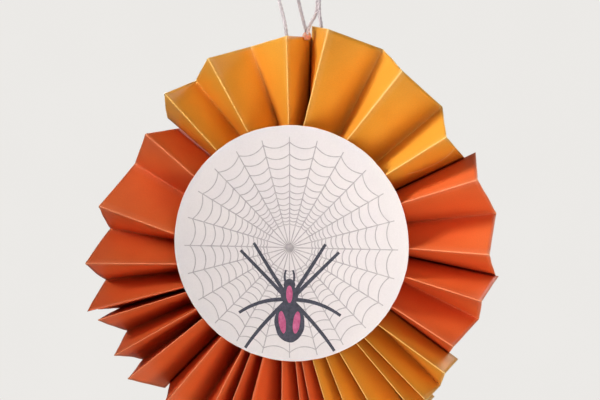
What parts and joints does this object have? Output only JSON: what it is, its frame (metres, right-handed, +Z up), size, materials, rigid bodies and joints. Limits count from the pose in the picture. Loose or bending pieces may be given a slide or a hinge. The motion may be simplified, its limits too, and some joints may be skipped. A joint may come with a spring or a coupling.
{
  "type": "paper fan decoration",
  "caption": "Hanging rosette of folded paper fans under a round printed card with a spider on a web, held by a looped string.",
  "frame": {"origin": "where the eye of the string rests on its nail, above the rosette", "axes": "X right seen from the front, Z up, -Y out of the printed card toward the viewer"},
  "size_m": [0.2441, 0.0392, 0.3295],
  "materials": {
    "yellow_paper": "matt craft paper",
    "orange_paper": "matt craft paper",
    "white_card": "matt card",
    "grey_ink": "printed",
    "dark_ink": "printed",
    "red_ink": "printed",
    "hot_glue": "waxy",
    "cotton": "twisted string"
  },
  "bodies": {
    "root": {"fan_top_yellow": "yellow_paper", "fan_right_orange": "orange_paper", "fan_low_yellow": "yellow_paper", "fan_low_orange": "orange_paper", "fan_left_orange": "orange_paper", "card": "white_card", "web_print": "grey_ink", "spider_print": "dark_ink", "spider_marks_print": "red_ink", "hub_glue": "hot_glue", "rim_glue": "hot_glue", "left_string_glue": "hot_glue", "right_string_glue": "hot_glue", "string_left": "cotton", "string_middle": "cotton", "string_right": "cotton", "string_right_rear": "cotton", "string_eye": "cotton", "string_knot": "cotton"}
  },
  "joints": []
}
